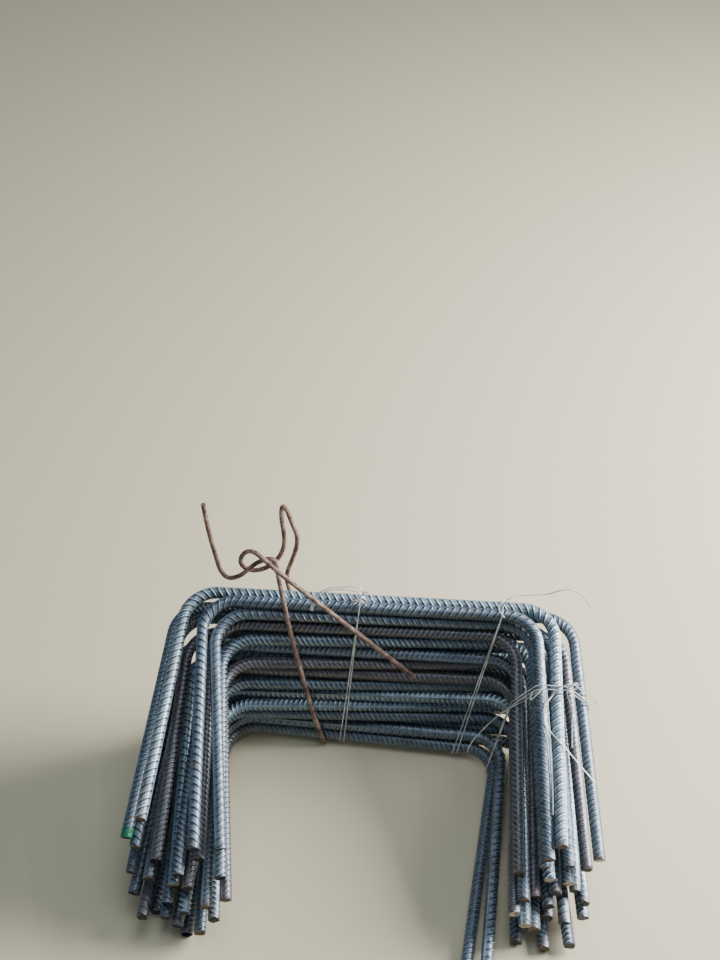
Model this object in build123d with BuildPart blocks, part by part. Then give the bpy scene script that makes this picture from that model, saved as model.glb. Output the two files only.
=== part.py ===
from build123d import *
import math
import os
import numpy as np

# A bundle of ribbed reinforcing bars, each bent to a flat U, lying on the floor.
# The webs are piled at the back (+Y), the legs point to the front (-Y).

# The bars
BAR_DIAMETER = 16.0
BAR_SIDES = 8  # the section is a polygon as heavy as the round bar with its ribs
BEND_RADIUS = 44.0  # of the bar's centre line
WEB_SPAN = 504.0  # between the leg centre lines of a standard bar
LEG_LENGTH = 328.0  # from the web's centre line to the cut end

# The ties. Each goes tight round the bars in a plane of its own, which passes through a
# place on the floor and slants to the left as it rises, by some degrees.
TIE_DIAMETER = 6.5  # mill wire rod
TIE_PLACE = -66.0
TIE_SLANT = 12.0
TIE_KNOT_HEIGHT = 48.0  # the loop is slack and closes this high over the topmost web
TIE_END_HEIGHT = 151.0  # of the free end that stands up
BIGHT_HEIGHT = 140.0  # of the bent back part that stands up beside it
TAIL_DROP, TAIL_REACH = 163.0, 180.0  # the other free end runs down and to the right
TIE_BEND_RADIUS = 9.0
WIRE_DIAMETER = 1.6  # galvanised binding wire
MIDDLE_WIRE_PLACE, MIDDLE_WIRE_SLANT = -47.0, -8.0
CORNER_WIRE_PLACE, CORNER_WIRE_SLANT = 112.0, -16.0
LEG_WIRE_PLACE = -50.0  # in front of the lowest web
LEG_WIRE_LEAN = 10.0  # forward, about square to the legs
WIRE_END_LENGTH = 16.0  # of a binding wire's two ends, at its knot on top
WIRE_END_BEND = 3.0
TIE_SIDES = 6

# How the bars lie: each layer of the pile is a narrow bar nested in a wide one
SEAT_GAP = 0.3  # between pieces that rest on each other
NEST_DEPTH = 17.5  # from the narrow bar's web back to the wide bar's
LEAN = 4.5  # each layer lies this much further back than the one below
# Each layer: slide to the right, turn in degrees, narrow bar, wide bar.
# Each bar: wider than standard by, left splay, right splay, left and right leg longer by.
LAYERS = [
    (-14, -4.5, (-120, -3.0, -1.5, 8, 56), (-34, -2.5, 8.0, 0, -14)),
    (-11, -3.0, (-110, 0.0, 0.0, 5, 56), (-12, -0.5, 9.5, 0, -5)),
    (-7, 2.5, (-84, -1.5, -2.0, 0, 0), (-4, 4.5, -2.5, 5, -5)),
    (4, 4.0, (-74, -2.5, -2.5, -5, 5), (6, 2.0, 1.5, 0, 0)),
    (-10, 0.5, (-78, -1.0, 1.5, 5, 0), (5, 4.0, 3.0, -5, 5)),
    (3, 3.5, (-74, -1.5, 1.5, 0, -8), (9, 0.5, 2.0, 5, 0)),
    (-10, 1.0, (-85, -1.0, -0.5, -5, 5), (-2, 1.0, 1.0, 0, -5)),
    (7, 4.0, (-77, -4.5, -2.5, 8, 0), (9, 0.0, -1.0, 0, 5)),
    (-10, 0.5, (-72, -0.5, 1.0, 0, 5), (8, 4.5, 3.0, 5, 0)),
    (6, 3.0, (-81, -4.0, 2.0, 5, 0), (12, 3.0, 2.0, -5, 0)),
    (-9, 0.5, (-88, -3.5, 1.0, 0, -5), (5, 3.5, 3.5, 0, 0)),
    (3, 1.0, (-70, -7.5, 2.5, 0, 0), (37, 5.0, 4.5, 0, 5)),
    (-2, -0.5, (-50, -5.5, 3.5, 16, 0), (-3, 2.5, 2.0, 0, 0)),
]
SAMPLE_STEP = 3.0  # between the points that stand for a bar while the pile is settled
LEAST_TURN = 0.1  # a tie bends at a bar that stands out this far from its straight run

side_angle = 2 * math.pi / BAR_SIDES
BAR_RADIUS = BAR_DIAMETER / 2 * math.sqrt(side_angle / math.sin(side_angle))  # at a corner
TIE_RADIUS = TIE_DIAMETER / 2
WIRE_RADIUS = WIRE_DIAMETER / 2


def polar(length, degrees_from_front):
    """A step towards the front, turned to the right by some degrees."""
    angle = math.radians(degrees_from_front)
    return length * math.sin(angle), -length * math.cos(angle)


def bar_corners(bar):
    """The ends and corners of a bar in its own plane, with its web on the X axis."""
    wider, left_splay, right_splay, left_longer, right_longer = bar
    half = (WEB_SPAN + wider) / 2
    left_x, left_y = polar(LEG_LENGTH + left_longer, -left_splay)
    right_x, right_y = polar(LEG_LENGTH + right_longer, right_splay)
    return [(-half + left_x, left_y), (-half, 0), (half, 0), (half + right_x, right_y)]


def centre_line(plane, corners):
    """A bar's centre line: two legs and a web, joined by the bends."""
    with BuildLine(plane) as line:
        FilletPolyline(*corners, radius=BEND_RADIUS)
    return line.wire()


def sampled(wire):
    """Evenly spaced points of a centre line, as an array."""
    count = round(wire.length / SAMPLE_STEP)
    return np.array([tuple(wire @ (i / count)) for i in range(count + 1)])


def lowest_heights(places, laid):
    """How high a bar's centre has to be over each place, on the floor or on what is laid."""
    lowest = np.full(len(places), BAR_RADIUS)
    for points, radius in laid:
        reach = BAR_RADIUS + radius + SEAT_GAP
        gap = ((places[:, None, :2] - points[None, :, :2]) ** 2).sum(axis=2)
        over = points[None, :, 2] + np.sqrt(np.maximum(reach**2 - gap, 0))
        lowest = np.maximum(lowest, np.where(gap < reach**2, over, 0).max(axis=1))
    return lowest


def share(triangle, place):
    """How far inside a triangle, seen from above, a place is: below 0 is outside."""
    a, b, c = (corner[:2] for corner in triangle)
    across = np.array([b - a, c - a]).T
    if abs(np.linalg.det(across)) < 1e-6:
        return -math.inf
    u, v = np.linalg.solve(across, place - a)
    return min(u, v, 1 - u - v)


def upward_normal(triangle):
    a, b, c = triangle
    normal = np.cross(b - a, c - a)
    return normal / np.linalg.norm(normal) * np.sign(normal[2])


def resting_triangle(points):
    """The three points that a flat frame comes to rest on, round its centre of mass."""
    centre = points[:, :2].mean(axis=0)
    triangle = [points[0], points[len(points) // 2], points[-1]]
    for _ in range(len(points)):
        above = (points - triangle[0]) @ upward_normal(triangle)
        highest = points[above.argmax()]
        if above.max() < 0.001:
            break
        swaps = [triangle[:i] + [highest] + triangle[i + 1 :] for i in range(3)]
        triangle = max(swaps, key=lambda swap: share(swap, centre))
    return triangle


def tilted_plane(x, y, turn, triangle):
    """The plane through a resting triangle, with its X axis along the turned web."""
    normal = upward_normal(triangle)
    height = triangle[0][2] - ((x, y) - triangle[0][:2]) @ normal[:2] / normal[2]
    ahead = np.array([math.cos(math.radians(turn)), math.sin(math.radians(turn))])
    rise = -(normal[:2] @ ahead) / normal[2]
    return Plane(origin=(x, y, height), x_dir=(*ahead, rise), z_dir=tuple(normal))


def settled(x, y, turn, corners, laid):
    """The plane in which a bar comes to rest on the floor and on what is laid."""
    plane = Plane(origin=(x, y, 0), x_dir=(*polar(1, turn + 90), 0), z_dir=(0, 0, 1))
    for _ in range(3):
        places = sampled(centre_line(plane, corners))
        places[:, 2] = lowest_heights(places, laid)
        plane = tilted_plane(x, y, turn, resting_triangle(places))
    places = sampled(centre_line(plane, corners))
    lift = (lowest_heights(places, laid) - places[:, 2]).max()
    return Plane(plane.origin + (0, 0, lift), x_dir=plane.x_dir, z_dir=plane.z_dir)


def crossings(plane, lines, wanted):
    """Where the wanted stretches of the centre lines pass through a plane, in its axes."""
    found = []
    for points in lines:
        local = np.array([tuple(plane.to_local_coords(Vector(*p))) for p in points])
        for before, after, point in zip(local, local[1:], points):
            if before[2] * after[2] <= 0 and wanted(point):
                part = before[2] / (before[2] - after[2])
                found.append((before + part * (after - before))[:2])
    return found


def stands_out(before, place, after):
    """How far a place is outside a straight run that would pass it."""
    across = np.array([after[1] - before[1], before[0] - after[0]])
    return (place - before) @ across / np.linalg.norm(across)


def outermost(places):
    """The places where a loop drawn tight round them all turns, in the loop's order."""
    row = sorted(places, key=lambda place: place[0])
    turns = []
    for ordered in (row, row[::-1]):
        side = []
        for place in ordered:
            while len(side) > 1 and stands_out(side[-2], side[-1], place) < LEAST_TURN:
                side.pop()
            side.append(place)
        turns += side[:-1]
    return turns


def loop_corners(places, reach):
    """The corners of a tight loop that passes the places at a distance.

    The loop starts at the top of its first side and goes down that side.
    """
    turns = outermost(places)
    first = max(range(len(turns)), key=lambda i: turns[i][1] - turns[i][0])
    turns = turns[first:] + turns[:first]
    corners = []
    for before, turn, after in zip(turns[-1:] + turns[:-1], turns, turns[1:] + turns[:1]):
        steps = [turn - before, after - turn]
        outs = [np.array([y, -x]) / math.hypot(x, y) for x, y in steps]
        corners.append(turn + reach * sum(outs) / (1 + outs[0] @ outs[1]))
    return corners


def web_plane(place, slant, height):
    """The plane of a tie round the webs, seen from the right: its X axis runs to the back."""
    left, up = math.sin(math.radians(slant)), math.cos(math.radians(slant))
    return Plane(origin=(place, 0, height), x_dir=(0, 1, 0), z_dir=(up, 0, left))


def reach_of(radius, slant=0.0):
    """From a bar's middle to the middle of a tie that slants over it."""
    return (BAR_RADIUS + radius + SEAT_GAP) / math.cos(math.radians(slant))


def wire_route(plane, wanted, slant=0.0):
    """A binding wire's corners and bend radii: a loop with both ends up at a knot on top."""
    reach = reach_of(WIRE_RADIUS, slant)
    corners = loop_corners(crossings(plane, bar_lines, wanted), reach)
    knot = (corners[0] + corners[-1]) / 2
    along = (corners[0] - corners[-1]) / np.linalg.norm(corners[0] - corners[-1])
    apart = along * (WIRE_DIAMETER + SEAT_GAP) / 2
    up = np.array([along[1], -along[0]]) * WIRE_END_LENGTH
    route = [knot + apart + up, knot + apart, *corners, knot - apart, knot - apart + up]
    radii = [WIRE_END_BEND, *[reach] * len(corners), WIRE_END_BEND]
    return [tuple(plane.from_local_coords(Vector(*place))) for place in route], radii


def cleared(start, end, reach):
    """The end of a straight run, drawn forward until the run passes all bars."""
    end = np.array(end)
    while True:
        run = start + np.linspace(0, 1, 60)[:, None] * (end - start)
        gaps = [((run[:, None] - points[None]) ** 2).sum(axis=2).min() for points in bar_lines]
        if min(gaps) > reach**2:
            return end
        end[1] -= SEAT_GAP


# Settle the pile, from the floor up. The tie's lowest run is on the floor under the webs.
under_run = [(TIE_PLACE, y, TIE_RADIUS + LEAST_TURN) for y in np.arange(-60, 60, SAMPLE_STEP)]
laid = [(np.array(under_run), TIE_RADIUS)]
planes, corner_lists = [], []
for level, (slide, turn, narrow, wide) in enumerate(LAYERS):
    for back, bar in ((0, narrow), (NEST_DEPTH, wide)):
        corners = bar_corners(bar)
        plane = settled(slide, level * LEAN + back, turn, corners, laid)
        laid.append((sampled(centre_line(plane, corners)), BAR_RADIUS))
        planes.append(plane)
        corner_lists.append(corners)
bar_lines = [points for points, _ in laid[1:]]

# The rod tie: from the end that stands up, over the topmost webs, down the front, under the
# pile, up the back, over the standing loop and out to the end that runs across the front
tie_plane = web_plane(TIE_PLACE, TIE_SLANT, TIE_RADIUS)
tie_reach = reach_of(TIE_RADIUS, TIE_SLANT)
corners = loop_corners(crossings(tie_plane, bar_lines, lambda point: True), tie_reach)
front_top, back_top = corners[0], corners[-1]
up_front = (front_top - corners[1]) / np.linalg.norm(front_top - corners[1])
knot = (front_top + back_top) / 2


def on_tie(place, right=0.0, back=0.0, up=0.0):
    """A place in the tie's plane, moved along the pile's axes."""
    return np.array(tuple(tie_plane.from_local_coords(Vector(*place)))) + (right, back, up)


tie_route = [
    on_tie(knot, -101, 13, TIE_END_HEIGHT),
    on_tie(knot, -91, 13, 17),
    on_tie(knot, -73, 13, 13),
    on_tie(knot, -55, 13, TIE_KNOT_HEIGHT),
    on_tie(front_top + up_front * TIE_KNOT_HEIGHT),
    *[on_tie(corner) for corner in corners[1:]],
    on_tie(back_top, 14, 2, BIGHT_HEIGHT),
    on_tie(back_top, -8, -2, BIGHT_HEIGHT - 2),
    on_tie(knot, -18, 8, TIE_KNOT_HEIGHT + 20),
    on_tie(knot, -4, -19, TIE_KNOT_HEIGHT + 8),
]
tail_end = tie_route[-1] + (TAIL_REACH, 0, -TAIL_DROP)
tail_reach = reach_of(TIE_RADIUS + WIRE_RADIUS) + WIRE_RADIUS + SEAT_GAP
tie_route.append(cleared(tie_route[-1], tail_end, tail_reach))
tie_radii = [*[TIE_BEND_RADIUS] * 4, *[tie_reach] * (len(corners) - 1), *[TIE_BEND_RADIUS] * 4]

# The binding wires
middle_wire = wire_route(
    web_plane(MIDDLE_WIRE_PLACE, MIDDLE_WIRE_SLANT, 0), lambda point: True, MIDDLE_WIRE_SLANT
)
corner_wire = wire_route(
    web_plane(CORNER_WIRE_PLACE, CORNER_WIRE_SLANT, 0), lambda point: point[1] > -20, CORNER_WIRE_SLANT
)
leg_plane = Plane(
    origin=(0, LEG_WIRE_PLACE, 0), x_dir=(1, 0, 0), z_dir=(0, *polar(1, -LEG_WIRE_LEAN)[::-1])
)
leg_wire = wire_route(leg_plane, lambda point: point[0] > 0, LEG_WIRE_LEAN)

# The origin is under the middle of the bundle
with BuildLine() as tie_line:
    FilletPolyline(*[tuple(place) for place in tie_route], radius=tie_radii)
all_points = np.concatenate([*bar_lines, sampled(tie_line.wire())])
middle = (all_points.min(axis=0) + all_points.max(axis=0)) / 2
TO_ORIGIN = Vector(-middle[0], -middle[1], 0)


def moved_plane(plane):
    return Plane(plane.origin + TO_ORIGIN, x_dir=plane.x_dir, z_dir=plane.z_dir)


os.makedirs("parts", exist_ok=True)

for number, (plane, corners) in enumerate(zip(planes, corner_lists), start=1):
    with BuildPart() as u_bar:
        with BuildLine(moved_plane(plane)) as route:
            FilletPolyline(*corners, radius=BEND_RADIUS)
        with BuildSketch(Plane(route.line @ 0, x_dir=plane.z_dir, z_dir=route.line % 0)):
            RegularPolygon(BAR_RADIUS, BAR_SIDES)
        sweep()
    u_bar.part.label = f"u_bar_{number:02d}"
    export_step(u_bar.part, f"parts/u_bar_{number:02d}.step")


def tie_part(label, places, radii, radius):
    """Sweeps and exports a tie along its route."""
    with BuildPart() as tie:
        with BuildLine() as route:
            FilletPolyline(*[Vector(*place) + TO_ORIGIN for place in places], radius=radii)
        with BuildSketch(Plane(route.line @ 0, z_dir=route.line % 0)):
            RegularPolygon(radius, TIE_SIDES)
        sweep()
    tie.part.label = label
    export_step(tie.part, f"parts/{label}.step")


tie_part("wire_rod_tie", tie_route, tie_radii, TIE_RADIUS)
tie_part("binding_wire_middle", *middle_wire, WIRE_RADIUS)
tie_part("binding_wire_corner", *corner_wire, WIRE_RADIUS)
tie_part("binding_wire_legs", *leg_wire, WIRE_RADIUS)
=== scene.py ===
import math

import bpy
from mathutils import Matrix, Vector
from mathutils.geometry import convex_hull_2d


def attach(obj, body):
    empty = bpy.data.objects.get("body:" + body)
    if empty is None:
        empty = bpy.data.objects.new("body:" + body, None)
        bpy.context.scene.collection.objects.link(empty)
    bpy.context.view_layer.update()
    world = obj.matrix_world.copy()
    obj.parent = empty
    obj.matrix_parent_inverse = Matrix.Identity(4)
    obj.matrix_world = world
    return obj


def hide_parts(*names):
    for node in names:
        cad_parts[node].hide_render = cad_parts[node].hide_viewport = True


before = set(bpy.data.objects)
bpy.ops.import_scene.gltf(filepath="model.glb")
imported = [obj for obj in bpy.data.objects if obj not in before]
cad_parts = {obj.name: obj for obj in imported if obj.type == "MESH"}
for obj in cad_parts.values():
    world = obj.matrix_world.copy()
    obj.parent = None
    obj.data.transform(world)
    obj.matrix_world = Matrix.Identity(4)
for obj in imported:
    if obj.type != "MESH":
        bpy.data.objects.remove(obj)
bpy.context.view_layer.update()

MM = 0.001
bpy.ops.object.select_all(action="DESELECT")

# Reinforcing bars, 16 mm, of two rollings with wide and with close ribs. Hot-rolled steel with two
# rows of crescent ribs and two ridges rolled in, sheared to length and bent cold to a U round a pin.
# One pitch is modelled and repeated to a long straight bar. Each bar of the bundle is cut from a
# copy of it and bent along its own centre line.
CORE_RADIUS = 7.55 * MM
RIB_HEIGHT = 1.1 * MM
RIB_PITCHES = {"wide": 10.0 * MM, "close": 7.0 * MM}
RIB_TOP, RIB_FLANK = 1.2 * MM, 0.9 * MM
BEFORE_RIB = 2 * MM  # how far before a rib its numbered stretch of the bar begins
RIB_LEAN = math.radians(32)
RIDGE_HEIGHT = 0.7 * MM
RIDGE_NARROWING = 0.5  # of the core's faces on both sides of a ridge
ROUND_SIDES = 24
STOCK_LENGTH = 1320 * MM
SHORTEST_RUN, RING_WIDTH = 100 * MM, 22 * MM  # tell a solid's straight runs and the rings at their ends
BEND_STEPS = 24
SHEAR_ANGLES = [3, -4, 5, -2, 4, -5, 2]  # degrees off square, from one cut end to the next
SHEAR_SQUASH = 0.84  # how far the shear blades flatten an end
END_ROUNDING = 0.7 * MM
FIRST_CUT, CUT_STEP, CUT_RANGE = 3, 3.7, 10  # in mm: where in the stock a bar's left cut falls
# The bars from the floor up, two to a layer: finish, ribs, how far the middle of a row of ribs is
# rolled from straight up towards the inside of the U, in degrees (between 90 and 270 the ribs on top
# slant the other way), and the look of the left and the right cut face.
BARS = [
    ("slate", "close", 200, "dark", "dark"), ("slate", "close", 40, "dark", "brown"),
    ("slate", "wide", 125, "dark", "dark"), ("slate", "close", 230, "dark", "dark"),
    ("slate", "close", 225, "brown", "dark"), ("brown", "wide", 35, "dark", "dark"),
    ("blue", "close", 328, "dark", "brown"), ("slate", "close", 220, "dark", "dark"),
    ("blue", "close", 310, "dark", "pale"), ("slate", "wide", 215, "dark", "dark"),
    ("slate", "close", 230, "brown", "dark"), ("slate", "close", 40, "dark", "dark"),
    ("brown", "close", 215, "dark", "pale"), ("slate", "close", 225, "dark", "dark"),
    ("brown", "close", 228, "dark", "dark"), ("blue", "wide", 40, "pale", "dark"),
    ("slate", "close", 350, "dark", "brown"), ("slate", "wide", 45, "dark", "pale"),
    ("blue", "close", 215, "dark", "pale"), ("brown", "close", 222, "pale", "dark"),
    ("brown", "close", 42, "dark", "brown"), ("slate", "wide", 35, "brown", "dark"),
    ("slate", "wide", 225, "dark", "brown"), ("slate", "close", 222, "dark", "pale"),
    ("slate", "wide", 30, "dark", "brown"), ("pale", "wide", 203, "brown", "brown"),
]
PAINTED_BAR, PAINT_LENGTH = "u_bar_24", 12 * MM


def select_vertices(piece, wanted):
    """Leaves the piece in edit mode with the vertices selected that pass the test."""
    bpy.ops.object.mode_set(mode="EDIT")
    bpy.ops.mesh.select_mode(type="VERT")
    bpy.ops.mesh.select_all(action="DESELECT")
    bpy.ops.object.mode_set(mode="OBJECT")
    for vertex in piece.data.vertices:
        vertex.select = wanted(vertex.co)
    bpy.ops.object.mode_set(mode="EDIT")


def only(piece):
    """Makes the piece the only selected one, and the active one."""
    bpy.ops.object.select_all(action="DESELECT")
    piece.select_set(True)
    bpy.context.view_layer.objects.active = piece


def extrude_ring(length, height_factor=1.0):
    """Draws the selected ring on along the bar, and changes its height for a rib's flank."""
    bpy.ops.mesh.extrude_region_move(TRANSFORM_OT_translate={"value": (length, 0, 0)})
    bpy.ops.transform.resize(value=(1, 1, height_factor), center_override=(0, 0, 0))


def straight_stock(name, pitch):
    """A long straight bar along X, with its ribs at a pitch.

    It carries how many pitches a point lies past the start of the bar's first stretch, the pitch in
    centimetres, and how far up its row of ribs the point is, from 0 at a ridge to 1 in the middle.
    """
    bpy.ops.mesh.primitive_circle_add(
        vertices=ROUND_SIDES, radius=CORE_RADIUS, rotation=(0, math.pi / 2, 0)
    )
    stock = bpy.context.object
    stock.name = name
    bpy.ops.object.transform_apply(location=False, rotation=True, scale=False)
    bpy.ops.object.mode_set(mode="EDIT")
    bpy.ops.mesh.select_all(action="SELECT")
    widened = 1 / math.cos(RIB_LEAN)
    bpy.ops.transform.rotate(value=RIB_LEAN, orient_axis="Z", center_override=(0, 0, 0))
    bpy.ops.transform.resize(value=(widened, widened, 1), center_override=(0, 0, 0))
    crest = (CORE_RADIUS + RIB_HEIGHT) / CORE_RADIUS
    extrude_ring(RIB_FLANK, crest)
    extrude_ring(RIB_TOP)
    extrude_ring(RIB_FLANK, 1 / crest)
    extrude_ring(pitch - RIB_TOP - 2 * RIB_FLANK)
    foot = CORE_RADIUS * math.sin(2 * math.pi / ROUND_SIDES)
    select_vertices(stock, lambda co: 0.1 * foot < abs(co.z) < 1.2 * foot)
    bpy.ops.transform.resize(value=(1, 1, RIDGE_NARROWING), center_override=(0, 0, 0))
    select_vertices(stock, lambda co: abs(co.z) < 0.1 * foot)
    ridge = (CORE_RADIUS + RIDGE_HEIGHT) / CORE_RADIUS
    bpy.ops.transform.resize(value=(1, ridge, 1), center_override=(0, 0, 0))
    bpy.ops.object.mode_set(mode="OBJECT")
    ribs = stock.modifiers.new("ribs", "ARRAY")
    ribs.use_relative_offset = False
    ribs.use_constant_offset = True
    ribs.constant_offset_displace = (pitch, 0, 0)
    ribs.count = round(STOCK_LENGTH / pitch)
    ribs.use_merge_vertices = True
    ribs.merge_threshold = 0.2 * MM
    bpy.ops.object.modifier_apply(modifier="ribs")
    past_rib = stock.data.attributes.new("past_rib", "FLOAT", "POINT")
    spacing = stock.data.attributes.new("rib_spacing", "FLOAT", "POINT")
    row = stock.data.attributes.new("rib_row", "FLOAT", "POINT")
    for index, vertex in enumerate(stock.data.vertices):
        along = vertex.co.x - vertex.co.y * math.tan(RIB_LEAN) + BEFORE_RIB
        past_rib.data[index].value = along / pitch
        spacing.data[index].value = pitch / (10 * MM)
        row.data[index].value = abs(vertex.co.z) / CORE_RADIUS
    return stock


def centre_line(node):
    """The ends of a bar's straight runs, read from its solid: left end, bend, web, bend, right end."""
    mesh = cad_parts[node].data
    places = [vertex.co.copy() for vertex in mesh.vertices]
    near_end = {}
    for edge in mesh.edges:
        a, b = (places[index] for index in edge.vertices)
        if (a - b).length > SHORTEST_RUN:
            for place in (a, b):
                near_end[tuple(round(value, 6) for value in place)] = place
    rings = []
    for place in near_end.values():
        for ring in rings:
            if (place - ring[0]).length < RING_WIDTH:
                ring.append(place)
                break
        else:
            rings.append([place])
    centres = [sum(ring, Vector()) / len(ring) for ring in rings]
    left = sorted((c for c in centres if c.x < 0), key=lambda c: c.y)
    right = sorted((c for c in centres if c.x > 0), key=lambda c: -c.y)
    return left + right


def bent_path(points):
    """A curve through a bar's straight runs, with round bends between them."""
    curve = bpy.data.curves.new("centre_line", "CURVE")
    curve.dimensions = "3D"
    curve.resolution_u = BEND_STEPS
    spline = curve.splines.new("BEZIER")
    spline.bezier_points.add(len(points) - 1)
    for index, (point, place) in enumerate(zip(spline.bezier_points, points)):
        point.co = place
        point.handle_left_type = point.handle_right_type = "FREE"
        point.handle_left = point.handle_right = place
        if index > 0:
            point.handle_left = place.lerp(points[index - 1], 1 / 3)
        if index < len(points) - 1:
            point.handle_right = place.lerp(points[index + 1], 1 / 3)
    for index in (1, 3):
        before = (points[index] - points[index - 1]).normalized()
        after = (points[index + 2] - points[index + 1]).normalized()
        bend = before.angle(after)
        radius = (points[index + 1] - points[index]).length / (2 * math.sin(bend / 2))
        reach = radius * math.tan(bend / 4) * 4 / 3
        spline.bezier_points[index].handle_right = points[index] + before * reach
        spline.bezier_points[index + 1].handle_left = points[index + 1] - after * reach
    path = bpy.data.objects.new("centre_line", curve)
    bpy.context.scene.collection.objects.link(path)
    return path


def shear(piece, at, angle, keep_after):
    """Shears the straight bar off near square. The end is left flattened, with a rounded rim."""
    bpy.ops.object.mode_set(mode="EDIT")
    bpy.ops.mesh.select_all(action="SELECT")
    bpy.ops.mesh.bisect(
        plane_co=(at, 0, 0),
        plane_no=(math.cos(angle), 0, math.sin(angle)),
        use_fill=True,
        clear_inner=keep_after,
        clear_outer=not keep_after,
    )
    bpy.ops.transform.resize(value=(1, 1, SHEAR_SQUASH), center_override=(at, 0, 0))
    bpy.ops.mesh.bevel(offset=END_ROUNDING, affect="EDGES")
    bpy.ops.object.mode_set(mode="OBJECT")


def bent_bar(name, node, stock, roll, start, shears):
    """A ribbed bar cut from a copy of the stock and bent along the centre line of a solid.

    Its cut faces take the second and third material, and a painted tip the fourth.
    """
    points = centre_line(node)
    path = bent_path(points)
    length = path.data.splines[0].calc_length()
    bar = stock.copy()
    bar.data = stock.data.copy()
    bar.name = bar.data.name = name
    bpy.context.scene.collection.objects.link(bar)
    only(bar)
    bpy.ops.object.mode_set(mode="EDIT")
    bpy.ops.mesh.select_all(action="SELECT")
    bpy.ops.transform.rotate(value=-roll, orient_axis="X", center_override=(0, 0, 0))
    bpy.ops.transform.translate(value=(-start, 0, 0))
    bpy.ops.object.mode_set(mode="OBJECT")
    shear(bar, 0, math.radians(shears[0]), True)
    shear(bar, length, math.radians(shears[1]), False)
    bpy.ops.object.mode_set(mode="EDIT")
    bpy.ops.mesh.select_all(action="SELECT")
    bpy.ops.mesh.normals_make_consistent(inside=False)
    bpy.ops.object.mode_set(mode="OBJECT")
    from_end = bar.data.attributes.new("from_end", "FLOAT", "POINT")
    for vertex, distance in zip(bar.data.vertices, from_end.data):
        distance.value = min(vertex.co.x, length - vertex.co.x)
    for face in bar.data.polygons:
        if face.normal.x < -0.9:
            face.material_index = 1
        elif face.normal.x > 0.9:
            face.material_index = 2
        elif node == PAINTED_BAR and face.center.x < PAINT_LENGTH:
            face.material_index = 3
    bend = bar.modifiers.new("bend", "CURVE")
    bend.object = path
    bpy.ops.object.modifier_apply(modifier="bend")
    bpy.ops.object.shade_smooth_by_angle(angle=math.radians(30))
    bpy.data.objects.remove(path)
    return bar


stocks = {ribs: straight_stock(f"{ribs}_ribbed_stock", pitch) for ribs, pitch in RIB_PITCHES.items()}


def linear(hex_colour):
    """An sRGB hex colour as linear red, green, blue and alpha."""
    channels = [int(hex_colour[i : i + 2], 16) / 255 for i in (1, 3, 5)]
    return [c / 12.92 if c <= 0.04045 else ((c + 0.055) / 1.055) ** 2.4 for c in channels] + [1.0]


def add_node(material, kind, links=None, **settings):
    """Adds a node to a material: settings by name, inputs by value, links by input name."""
    node = material.node_tree.nodes.new(kind)
    for name, value in settings.items():
        if hasattr(node, name):
            setattr(node, name, value)
        else:
            node.inputs[name.replace("_", " ")].default_value = value
    for name, output in (links or {}).items():
        material.node_tree.links.new(output, node.inputs[name])
    return node


def new_material(name, **surface):
    """A material with its own principled shader, set to the given values."""
    material = bpy.data.materials.new(name)
    material.use_nodes = True
    shader = material.node_tree.nodes["Principled BSDF"]
    for setting, value in surface.items():
        shader.inputs[setting.replace("_", " ")].default_value = value
    return material, shader


def attribute(material, name):
    """A number that the mesh carries on its points."""
    return add_node(material, "ShaderNodeAttribute", attribute_name=name).outputs["Fac"]


def shade_along(material, factor, stops):
    """A colour that runs through the given hex colours as a factor passes their positions."""
    ramp = add_node(material, "ShaderNodeValToRGB", {"Fac": factor})
    elements = ramp.color_ramp.elements
    while len(elements) < len(stops):
        elements.new(1.0)
    for element, (position, colour) in zip(elements, stops):
        element.position = position
        element.color = linear(colour)
    return ramp.outputs["Color"]


def share_between(material, factor, low, high, most=1.0):
    """A number that rises from 0 to the most while a factor goes from one value to another."""
    rise = add_node(
        material, "ShaderNodeMapRange", {"Value": factor}, From_Min=low, From_Max=high, To_Max=most
    )
    return rise.outputs["Result"]


def product(material, first, second):
    """Two shares multiplied."""
    return add_node(
        material, "ShaderNodeMath", {0: first, 1: second}, operation="MULTIPLY"
    ).outputs[0]


def mixed(material, factor, first, second):
    """The second colour, an output or a hex value, over the first, by a factor."""
    mix = add_node(material, "ShaderNodeMix", data_type="RGBA")
    material.node_tree.links.new(factor, mix.inputs["Factor"])
    for socket, colour in ((mix.inputs["A"], first), (mix.inputs["B"], second)):
        if isinstance(colour, str):
            socket.default_value = linear(colour)
        else:
            material.node_tree.links.new(colour, socket)
    return mix.outputs["Result"]


def noise(material, size, detail=3.0):
    """A noise pattern whose patches are about the given size, in metres."""
    place = add_node(material, "ShaderNodeTexCoord").outputs["Object"]
    pattern = add_node(
        material, "ShaderNodeTexNoise", {"Vector": place}, Scale=0.7 / size, Detail=detail
    )
    return pattern.outputs["Fac"]


def roughened(material, shader, grain, depth):
    """Gives the surface fine bumps of a grain size and a depth."""
    height = noise(material, grain, detail=4.0)
    bump = add_node(material, "ShaderNodeBump", {"Height": height}, Distance=depth)
    material.node_tree.links.new(bump.outputs["Normal"], shader.inputs["Normal"])


def layered(material, first, share, second):
    """A share of one pattern added to another."""
    total = add_node(material, "ShaderNodeMath", {0: first, 2: second}, operation="MULTIPLY_ADD")
    total.inputs[1].default_value = share
    return total.outputs[0]


# The near-black colour is painted shade at the feet of the ribs; the brown film and the end stain are the
# steel's own.
PAINTED_RIB_SHADE, BROWN_FILM, END_STAIN = "#0B0E11", "#5A4E4A", "#5C4B49"


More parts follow.
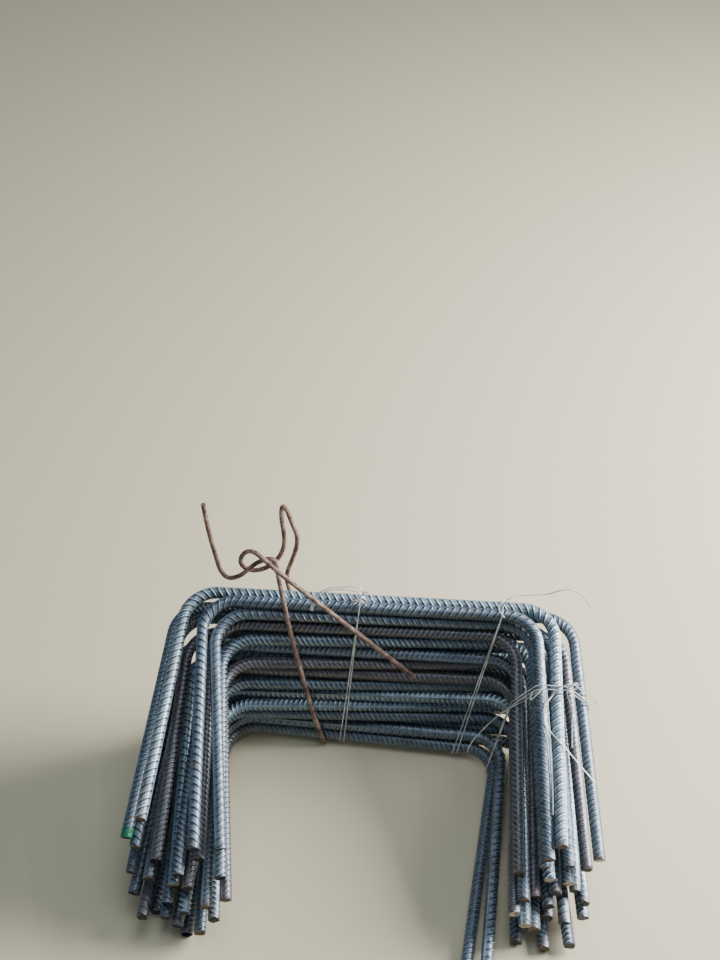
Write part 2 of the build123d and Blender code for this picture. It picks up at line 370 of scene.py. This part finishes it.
def mill_scale(name, dark, light, crest_wear_and_highlight, rust_level):
    """Mill scale on hot-rolled bar: a dense blue-grey iron oxide with a half gloss. It is clouded
    and grainy, painted nearly black at the feet of the ribs as painted shade, heaviest just before
    each rib, paler along their crests, partly from wear and partly as a painted highlight, filmed with
    brown here and there, stained beside some of the sheared ends and sparsely spotted with rust. The
    ramps along the bar are read in centimetres past the stretch's start."""
    material, shader = new_material(name, IOR=2.2, Metallic=0.25)
    clouds = shade_along(
        material, layered(material, noise(material, 2 * MM, detail=4.0), 0.7, noise(material, 18 * MM)),
        [(0.66, dark), (0.84, light), (0.98, dark)],
    )
    turn = add_node(
        material, "ShaderNodeMath", {0: attribute(material, "past_rib")}, operation="FRACT"
    ).outputs[0]
    turn = product(material, turn, attribute(material, "rib_spacing"))
    row = share_between(material, attribute(material, "rib_row"), 0.12, 0.45)
    # Painted shade at the rib feet: a share of near black, full just before each rib and lighter just after
    # it.
    foot = shade_along(
        material, turn,
        [(0.00, "#606060"), (0.06, "#E8E8E8"), (0.12, "#FFFFFF"), (0.24, "#F4F4F4"), (0.30, "#808080"),
         (0.34, "#000000"), (0.44, "#000000"), (0.49, "#A0A0A0"), (0.54, "#A0A0A0"), (0.60, "#000000")],
    )
    # Paler rib crests, partly wear and partly a painted highlight, in patches along the rows of ribs.
    crest = shade_along(
        material, turn, [(0.30, "#000000"), (0.34, "#FFFFFF"), (0.43, "#FFFFFF"), (0.47, "#000000")]
    )
    patches = share_between(material, noise(material, 9 * MM), 0.30, 0.55)
    wear_and_highlight = product(material, product(material, crest, row), patches)
    film = share_between(material, noise(material, 60 * MM, detail=2.0), 0.50, 0.70, 0.5)
    scale = mixed(material, film, clouds, BROWN_FILM)
    # Lays the painted rib shade over the scale, within the rows of ribs.
    scale = mixed(material, product(material, foot, row), scale, PAINTED_RIB_SHADE)
    # Lays the crests' colour, wear and painted highlight, over the scale.
    scale = mixed(material, wear_and_highlight, scale, crest_wear_and_highlight)
    beside_end = share_between(material, attribute(material, "from_end"), 14 * MM, 3 * MM, 0.8)
    patchy = share_between(material, noise(material, 26 * MM), 0.46, 0.56)
    scale = mixed(material, product(material, beside_end, patchy), scale, END_STAIN)
    specks = layered(
        material, noise(material, 45 * MM, detail=2.0), 0.55, noise(material, 3 * MM, detail=5.0)
    )
    rust = share_between(material, specks, rust_level, rust_level + 0.1)
    rust_colour = shade_along(material, noise(material, 2 * MM), [(0.35, "#3F2F29"), (0.65, "#6E4F40")])
    links = material.node_tree.links
    links.new(mixed(material, rust, scale, rust_colour), shader.inputs["Base Color"])
    gloss = add_node(
        material, "ShaderNodeMapRange", {"Value": noise(material, 7 * MM)}, From_Min=0.3, From_Max=0.7,
        To_Min=0.38, To_Max=0.56,
    )
    links.new(gloss.outputs["Result"], shader.inputs["Roughness"])
    roughened(material, shader, grain=1.5 * MM, depth=0.12 * MM)
    return material


def sheared_face(name, dark, light):
    """The face that shear blades leave: torn steel, matt, smeared from dull to brighter."""
    material, shader = new_material(name, Metallic=0.6, Roughness=0.6)
    colour = shade_along(material, noise(material, 4 * MM), [(0.4, dark), (0.6, light)])
    material.node_tree.links.new(colour, shader.inputs["Base Color"])
    roughened(material, shader, grain=1 * MM, depth=0.3 * MM)
    return material


def marking_paint():
    """Green marking paint, brushed on a bar's end: thin, half gloss, chipped to the dark scale."""
    material, shader = new_material("green_marking_paint", Roughness=0.45)
    chips = share_between(material, noise(material, 2.5 * MM, detail=5.0), 0.60, 0.64)
    coats = shade_along(material, noise(material, 6 * MM), [(0.35, "#115F40"), (0.65, "#248C61")])
    material.node_tree.links.new(mixed(material, chips, coats, "#2B3036"), shader.inputs["Base Color"])
    return material


# Each finish's last colour is for its rib crests: partly wear, partly a painted highlight, near white on the
# pale bar and bright on the blue ones.
bar_finishes = {
    "slate": mill_scale("mill_scale_slate", "#3F4E5B", "#667D8C", "#7F96A5", 0.93),
    "blue": mill_scale("mill_scale_blue", "#415965", "#6D8B9A", "#B0C8D5", 0.95),
    "pale": mill_scale("mill_scale_pale", "#607A86", "#98B0BA", "#ECF7F9", 0.92),
    "brown": mill_scale("mill_scale_brown", "#46454A", "#726D73", "#868187", 0.90),
}
cut_finishes = {
    "dark": sheared_face("sheared_steel_dark", "#26292C", "#464A4D"),
    "brown": sheared_face("sheared_steel_rusty", "#473A34", "#6E5A4F"),
    "pale": sheared_face("sheared_steel_bright", "#7F7C72", "#B5B1A3"),
}
tip_paint = marking_paint()

bar_names = sorted(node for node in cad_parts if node.startswith("u_bar"))
for number, (node, (finish, ribs, roll, left_face, right_face)) in enumerate(zip(bar_names, BARS)):
    shears = [SHEAR_ANGLES[(2 * number + side) % len(SHEAR_ANGLES)] for side in (0, 1)]
    start = (FIRST_CUT + number * CUT_STEP % CUT_RANGE) * MM
    bar = bent_bar(f"ribbed_{node[2:]}", node, stocks[ribs], math.radians(roll), start, shears)
    finishes = (bar_finishes[finish], cut_finishes[left_face], cut_finishes[right_face], tip_paint)
    for material in finishes:
        bar.data.materials.append(material)
    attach(bar, "root")
    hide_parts(node)
for stock in stocks.values():
    bpy.data.objects.remove(stock)

# Tie of mill wire rod, 6.5 mm, rusted brown all over. It is drawn round all the webs in a slanted
# plane, pulled up behind them to a standing bight, wound by hand round its own other end over the
# topmost web, and left with one end standing up and the other running out across the front.
ROD_RADIUS = 3.25 * MM
SEAT = 0.4 * MM  # between a tie and the bars it goes round
ARC_STEPS = 12  # of the circle round a bar's corner that a tie's middle line keeps clear of
LINE_STEPS = 5  # of a smooth curve, from one of its points to the next
ROD_ROUNDING = 4
TIE_PLACE, TIE_SLANT = -72.25, 12  # where its plane meets the floor, in mm, and its slant to the left
TIE_END_UP = [
    (-223, 234, 386), (-221, 232, 341), (-215, 231, 294), (-212, 230, 268), (-203, 230, 251),
    (-185, 230, 257), (-170, 229, 275), (-158, 229, 287), (-141, 228, 296), (-132, 226, 293),
]
TIE_KNOT = [(-130.5, 220, 279), (-119, 241.5, 250)]  # where it leaves the loop, in front and behind
TIE_BIGHT_AND_TAIL = [
    (-111, 243, 285), (-102, 243, 320), (-110, 241, 354), (-115, 239, 381), (-120, 238, 383),
    (-122, 236, 364), (-119, 233, 335), (-121, 232, 312), (-132, 234, 287), (-149, 237, 267),
    (-171, 237, 260), (-184, 234, 276), (-180, 229, 297), (-171, 225, 311), (-160, 221, 315),
    (-146, 213, 308), (-124, 203, 292), (-80, 195, 252), (54, 171.4, 130.4),
]


def crossings(place, normal, wanted):
    """Where the bars' solids pass through a plane."""
    spots = []
    for node in bar_names:
        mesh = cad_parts[node].data
        for edge in mesh.edges:
            a, b = (mesh.vertices[index].co for index in edge.vertices)
            before, after = (a - place).dot(normal), (b - place).dot(normal)
            if before * after < 0:
                spot = a.lerp(b, before / (before - after))
                if wanted(spot):
                    spots.append(spot)
    return spots


def tight_loop(place, normal, across, reach, knots, wanted=lambda spot: True):
    """The middle line of a wire drawn tight round the bars in a plane, from its knot round to it."""
    up = across.cross(normal)
    up = up if up.z > 0 else -up

    def flat(spot):
        return (round((spot - place).dot(across), 7), round((spot - place).dot(up), 7))

    outline = [flat(knot) for knot in knots]
    for spot in crossings(place, normal, wanted):
        u, v = flat(spot)
        for step in range(ARC_STEPS):
            angle = step * 2 * math.pi / ARC_STEPS
            outline.append((u + reach * math.cos(angle), v + reach * math.sin(angle)))
    turns = [outline[index] for index in convex_hull_2d(outline)]
    first = turns.index(flat(knots[0]))
    turns = turns[first:] + turns[:first]
    return [place + across * u + up * v for u, v in turns]


def wire_along(name, places, radius, rounding):
    """A round wire whose middle line is a smooth curve by the given places."""
    curve = bpy.data.curves.new(name, "CURVE")
    curve.dimensions = "3D"
    curve.resolution_u = LINE_STEPS
    curve.bevel_depth = radius
    curve.bevel_resolution = rounding
    curve.use_fill_caps = True
    spline = curve.splines.new("NURBS")
    spline.points.add(len(places) - 1)
    for point, place in zip(spline.points, places):
        point.co = (*place, 1)
    spline.order_u = 3
    spline.use_endpoint_u = True
    wire = bpy.data.objects.new(name, curve)
    bpy.context.scene.collection.objects.link(wire)
    only(wire)
    bpy.ops.object.convert(target="MESH")
    bpy.ops.object.mode_set(mode="EDIT")
    bpy.ops.mesh.select_all(action="SELECT")
    bpy.ops.mesh.remove_doubles(threshold=0.02 * MM)
    bpy.ops.mesh.normals_make_consistent(inside=False)
    bpy.ops.object.mode_set(mode="OBJECT")
    bpy.ops.object.shade_smooth_by_angle(angle=math.radians(50))
    return wire


def in_metres(places):
    return [Vector(place) * MM for place in places]


def web_loop(place, slant, reach, knots, wanted=lambda spot: True):
    """A loop round the webs, in a plane that slants to the left as it rises, by some degrees."""
    lean = math.radians(slant)
    normal = Vector((math.cos(lean), 0, math.sin(lean)))
    return tight_loop(Vector((place * MM, 0, 0)), normal, Vector((0, 1, 0)), reach, knots, wanted)


def rusted_rod():
    """Mill wire rod left outdoors: an even, dry coat of fine rust with darker scale under it."""
    material, shader = new_material("wire_rod_rusted", Roughness=0.8)
    coat = shade_along(
        material, noise(material, 9 * MM, detail=4.0),
        [(0.33, "#58443A"), (0.5, "#8A6E5E"), (0.66, "#B19481")],
    )
    scale = share_between(material, noise(material, 3 * MM, detail=5.0), 0.56, 0.66)
    material.node_tree.links.new(mixed(material, scale, coat, "#4A3A33"), shader.inputs["Base Color"])
    roughened(material, shader, grain=1 * MM, depth=0.25 * MM)
    return material


rod_knot = in_metres(TIE_KNOT)
rod_loop = web_loop(TIE_PLACE, TIE_SLANT, ROD_RADIUS + SEAT, rod_knot)
rod_line = in_metres(TIE_END_UP) + rod_loop + in_metres(TIE_BIGHT_AND_TAIL)
rod_tie = wire_along("rod_tie", rod_line, ROD_RADIUS, ROD_ROUNDING)
rod_tie.data.materials.append(rusted_rod())
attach(rod_tie, "root")
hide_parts("wire_rod_tie")

# Binding wires, galvanised, 1.6 mm, each doubled. A doubled wire goes round the webs or round the
# right-hand legs, its two strands a little apart. Its ends are wound up with a hook to a short
# pigtail and then spring away in loose curls.
WIRE_RADIUS, WIRE_ROUNDING = 0.8 * MM, 1
PIGTAIL_TURNS, STRAND_STEPS = 2, 8  # of one strand round the other, and the points of a turn
MIDDLE_KNOT, MIDDLE_PLANES = (-20, 215, 236.5), [(-53.25, -8), (-47, -6.5)]
MIDDLE_PIGTAIL = (-15, 212, 250)
MIDDLE_ENDS = [
    [(-16, 213, 258), (-24, 213, 262), (-45, 212, 262), (-64, 211, 259), (-79, 208, 249),
     (-87, 202, 238), (-86, 198, 228)],
    [(-10, 209, 258), (-4, 206, 254), (-4, 203, 245), (-12, 201, 241), (-19, 203, 246), (-17, 207, 256),
     (-28, 208, 259), (-45, 210, 260), (-63, 209, 257), (-77, 206, 248), (-84, 201, 238),
     (-84, 197, 229)],
    [(-21, 215, 236), (-14, 206, 241), (-23, 203, 247), (-28, 209, 240), (-18, 213, 233), (-10, 208, 239),
     (-13, 205, 248), (-23, 208, 252)],
    [(-20, 215, 237), (-27, 206, 233), (-30, 203, 242), (-20, 205, 251), (-12, 210, 246), (-17, 203, 237)],
]
CORNER_KNOT, CORNER_PLANES = (172, 214, 234), [(105.75, -16), (112, -14.6)]
CORNER_BACK = 134  # the wire goes round what lies further back than this
CORNER_PIGTAIL = (177, 213, 245)
CORNER_ENDS = [
    [(184, 217, 249), (199, 222, 247), (221, 224, 247), (234, 224, 249), (248, 225, 256), (264, 226, 258),
     (279, 226, 247), (287, 226, 230), (300, 224, 214)],
    [(173, 207, 250), (166, 202, 246), (168, 199, 238), (175, 198, 228)],
]


def galvanised_wire():
    """Annealed binding wire, hot-dip galvanised: a thin zinc skin, nearly white where it is new and
    dulled to a pale grey in patches."""
    material, shader = new_material("galvanised_binding_wire", Metallic=0.3, Roughness=0.4)
    skin = shade_along(material, noise(material, 12 * MM), [(0.35, "#B4B5B0"), (0.6, "#F4F4EE")])
    material.node_tree.links.new(skin, shader.inputs["Base Color"])
    return material


zinc = galvanised_wire()


def wound_pair(start, end, turns):
    """The middle lines of two wires wound round each other from one place to another."""
    axis = end - start
    side = axis.orthogonal().normalized() * WIRE_RADIUS
    count = turns * STRAND_STEPS
    lines = []
    for phase in (0, math.pi):
        line = []
        for step in range(count + 1):
            turned = Matrix.Rotation(phase + 2 * math.pi * step / STRAND_STEPS, 3, axis)
            line.append(start + axis * step / count + turned @ side)
        lines.append(line)
    return lines


def bound_wire(name, node, knot, loops, pigtail, ends):
    """A doubled binding wire with its pigtail and its loose ends, as one piece."""
    middle = Vector(knot) * MM
    strands = wound_pair(middle, Vector(pigtail) * MM, PIGTAIL_TURNS)
    lines = [strand + in_metres(end) for strand, end in zip(strands, ends)]
    lines += [loop + [loop[0]] for loop in loops]
    lines += [in_metres(end) for end in ends[2:]]
    wires = [
        wire_along(f"{name}_{index}", line, WIRE_RADIUS, WIRE_ROUNDING)
        for index, line in enumerate(lines)
    ]
    bpy.ops.object.select_all(action="DESELECT")
    for wire in wires:
        wire.select_set(True)
    bpy.context.view_layer.objects.active = wires[0]
    bpy.ops.object.join()
    wires[0].name = wires[0].data.name = name
    wires[0].data.materials.clear()
    wires[0].data.materials.append(zinc)
    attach(wires[0], "root")
    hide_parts(node)


wire_reach = WIRE_RADIUS + SEAT
middle_loops = [
    web_loop(place, slant, wire_reach, in_metres([MIDDLE_KNOT])) for place, slant in MIDDLE_PLANES
]
bound_wire(
    "doubled_wire_middle", "binding_wire_middle", MIDDLE_KNOT, middle_loops, MIDDLE_PIGTAIL, MIDDLE_ENDS
)
corner_loops = [
    web_loop(place, slant, wire_reach, in_metres([CORNER_KNOT]), lambda spot: spot.y > CORNER_BACK * MM)
    for place, slant in CORNER_PLANES
]
bound_wire(
    "doubled_wire_corner", "binding_wire_corner", CORNER_KNOT, corner_loops, CORNER_PIGTAIL, CORNER_ENDS
)

# Binding wire round the right-hand legs, of the same galvanised wire. Its two strands stand nearly
# upright, a little apart, and are wound up over the outer legs. Its long ends lie loose on the legs
# towards their cut ends.
LEG_PLACE, LEG_LEANS = 103.9, [0.8, -0.8]  # on the floor, in mm, and each strand's lean, in degrees
LEG_KNOT = (258, 104, 199)
LEG_PIGTAIL = (263, 102, 209)
LEG_ENDS = [
    [(256, 98, 214), (247, 99, 207), (239, 95, 196), (230.5, 84.5, 193), (226.5, 72, 190.5),
     (228, 60, 186.5), (235.5, 48, 179), (244, 36.5, 179), (254, 28.5, 173.5), (273, 13, 158),
     (293, -2, 143)],
    [(268, 103, 212), (272, 107, 204), (266, 99, 199), (262, 106, 206), (270, 111, 197), (278, 114, 182),
     (287, 116, 174), (295, 114, 170), (300, 111, 164), (292, 108, 163)],
    [(229, 101, 199), (220, 98, 197), (211, 100, 186), (203, 105, 168), (194, 99, 169), (184, 97, 162),
     (173, 94, 154), (160, 90, 141), (149, 86, 127), (138, 82, 112), (132, 79, 98), (130, 77, 90)],
    [(226, 101, 199.5), (221, 96, 198.5), (214, 91, 192), (208, 89, 189), (212, 94, 201)],
    [(240, 96, 195), (230.2, 83, 193), (227, 65, 189), (230, 51, 184.5), (236, 26, 172), (236.5, 6.7, 166.5),
     (237.7, -11.5, 160), (238.8, -37, 153), (238.7, -56.7, 147.5)],
    [(258, 104, 199), (257, 103, 189), (263, 108, 166), (267.6, 108, 147), (267.2, 84.7, 140),
     (266.9, 59.5, 132.5)],
]


def leg_loop(lean):
    """A loop round the right-hand legs, in a plane that leans to the front by some degrees."""
    angle = math.radians(lean)
    normal = Vector((0, math.cos(angle), math.sin(angle)))
    place = Vector((0, LEG_PLACE * MM, 0))
    knot = Vector(LEG_KNOT) * MM
    return tight_loop(place, normal, Vector((1, 0, 0)), wire_reach, [knot], lambda spot: spot.x > 0)


bound_wire(
    "doubled_wire_legs", "binding_wire_legs", LEG_KNOT, [leg_loop(lean) for lean in LEG_LEANS],
    LEG_PIGTAIL, LEG_ENDS,
)

# The floor that the bundle lies on, plain and matt, and the light: a large soft box behind on the
# right, a weak one above and a pale blue room. They are not part of the object.
FLOOR_SIZE = 12.0
ROOM_BRIGHTNESS = 0.26
bpy.ops.mesh.primitive_plane_add(size=FLOOR_SIZE, location=(0, 0, 0))
floor = bpy.context.object
floor.name = "floor"
floor_paint = new_material("floor_paint", Base_Color=linear("#E4D4AF"), Roughness=0.85)[0]
floor.data.materials.append(floor_paint)

world = bpy.data.worlds.new("studio")
bpy.context.scene.world = world
world.use_nodes = True
world.node_tree.nodes["Background"].inputs["Color"].default_value = linear("#CDE1F8")
world.node_tree.nodes["Background"].inputs["Strength"].default_value = ROOM_BRIGHTNESS


def soft_light(name, place, aim, size, watts, colour):
    """A square soft box that points at a place."""
    bpy.ops.object.light_add(type="AREA", location=place)
    light = bpy.context.object
    light.name = name
    light.rotation_euler = (Vector(aim) - Vector(place)).to_track_quat("-Z", "Y").to_euler()
    light.data.size = size
    light.data.energy = watts
    light.data.color = linear(colour)[:3]


soft_light(
    "sky_light", place=(2.1, 0.8, 1.2), aim=(0.1, 0.1, 0.05), size=1.3, watts=200, colour="#F4F8FF"
)
soft_light("top_light", place=(0.2, 0.3, 2.6), aim=(0, 0, 0.1), size=1.4, watts=20, colour="#E0EEFF")

# The camera stands in front and above, with the photograph's tilt, turn, roll and lens
PITCH, TURN, ROLL = math.radians(42), math.radians(6.1), math.radians(-2.46)
CAMERA_PLACE = (0.1274, -1.1037, 1.648)
FOCAL_PIXELS, PHOTO_HEIGHT = 1423, 960
SENSOR_HEIGHT = 36.0
ahead = Vector((-math.sin(TURN) * math.cos(PITCH), math.cos(TURN) * math.cos(PITCH), -math.sin(PITCH)))
level = Vector((math.cos(TURN), math.sin(TURN), 0))
upright = level.cross(ahead)
right = level * math.cos(ROLL) + upright * math.sin(ROLL)
above = upright * math.cos(ROLL) - level * math.sin(ROLL)
camera_data = bpy.data.cameras.new("camera")
camera_data.sensor_fit = "VERTICAL"
camera_data.sensor_height = SENSOR_HEIGHT
camera_data.lens = FOCAL_PIXELS / PHOTO_HEIGHT * SENSOR_HEIGHT
camera = bpy.data.objects.new("camera", camera_data)
bpy.context.scene.collection.objects.link(camera)
turned = Matrix((right, above, -ahead)).transposed()
camera.matrix_world = Matrix.Translation(CAMERA_PLACE) @ turned.to_4x4()
bpy.context.scene.camera = camera
